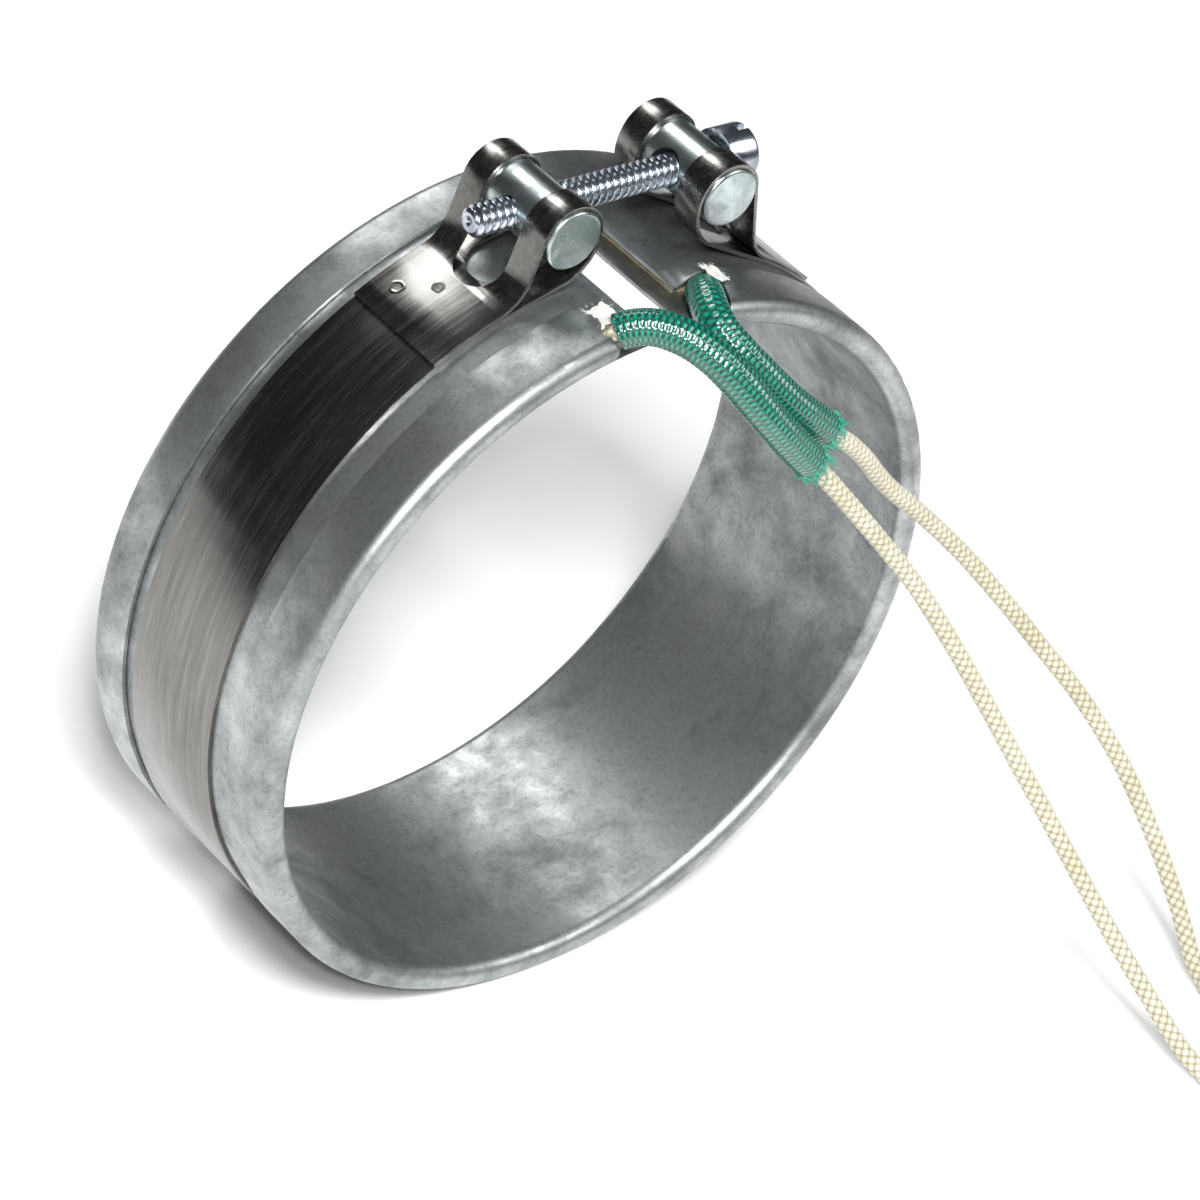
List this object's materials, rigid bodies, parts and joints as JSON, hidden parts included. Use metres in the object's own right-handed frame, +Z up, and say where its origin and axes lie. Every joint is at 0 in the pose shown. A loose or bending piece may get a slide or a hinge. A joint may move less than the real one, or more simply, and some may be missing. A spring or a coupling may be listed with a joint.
{
  "type": "band heater",
  "caption": "Clamp-on barrel band heater: folded metal sheath round a mica element, pinned steel strap with a clamp screw, and two sleeved glass-braid leads.",
  "frame": {"origin": "centre of the bore, on its axis, midway between the two rims", "axes": "+Y along the bore axis, away from the lead exits; +Z up through the clamp; +X towards the screw's head"},
  "size_m": [0.1913, 0.1594, 0.1347],
  "materials": {
    "sheath_steel": "dull rolled sheet, mottled grey",
    "cover_steel": "dull rolled sheet, mottled grey",
    "mica": "pressed mica sheet",
    "ribbon": "bright resistance ribbon",
    "terminal": "nickel strip",
    "strap_steel": "brushed strip",
    "pin_zinc": "zinc plate, satin",
    "screw_zinc": "bright zinc plate",
    "sleeve": "varnished woven glass sleeve, glossy",
    "lead_braid": "glass-braid insulation",
    "conductor": "stranded nickel",
    "splice_fibre": "frayed glass fibre"
  },
  "bodies": {
    "band": {"sheath": "sheath_steel", "cover_strip": "cover_steel", "mica_inner": "mica", "mica_former": "mica", "mica_outer": "mica", "heating_ribbon": "ribbon", "terminal_left": "terminal", "terminal_right": "terminal", "clamp_strap": "strap_steel", "sleeve_left": "sleeve", "sleeve_right": "sleeve", "lead_left": "lead_braid", "lead_right": "lead_braid", "lead_coil_left": "lead_braid", "lead_coil_right": "lead_braid", "conductor_left": "conductor", "conductor_right": "conductor", "splice_wrap_left": "splice_fibre", "splice_wrap_right": "splice_fibre"},
    "nut_pin": {"threaded_pin": "pin_zinc"},
    "screw": {"clamp_screw": "screw_zinc"},
    "head_pin": {"clearance_pin": "pin_zinc"}
  },
  "joints": [
    {"name": "nut_pin_swivel", "type": "hinge", "parent": "band", "child": "nut_pin", "pos_m": [-0.01133, 0.00185, 0.06795], "axis": [0, 1, 0], "range_deg": [-1.1, 1.1]},
    {"name": "head_pin_swivel", "type": "hinge", "parent": "band", "child": "head_pin", "pos_m": [0.01767, 0.00185, 0.06795], "axis": [0, 1, 0], "range_deg": [-1.5, 1.5]},
    {"name": "screw_turn", "type": "hinge", "parent": "nut_pin", "child": "screw", "pos_m": [0, 0.0017, 0.06795], "axis": [1, 0, 0], "continuous": true}
  ]
}
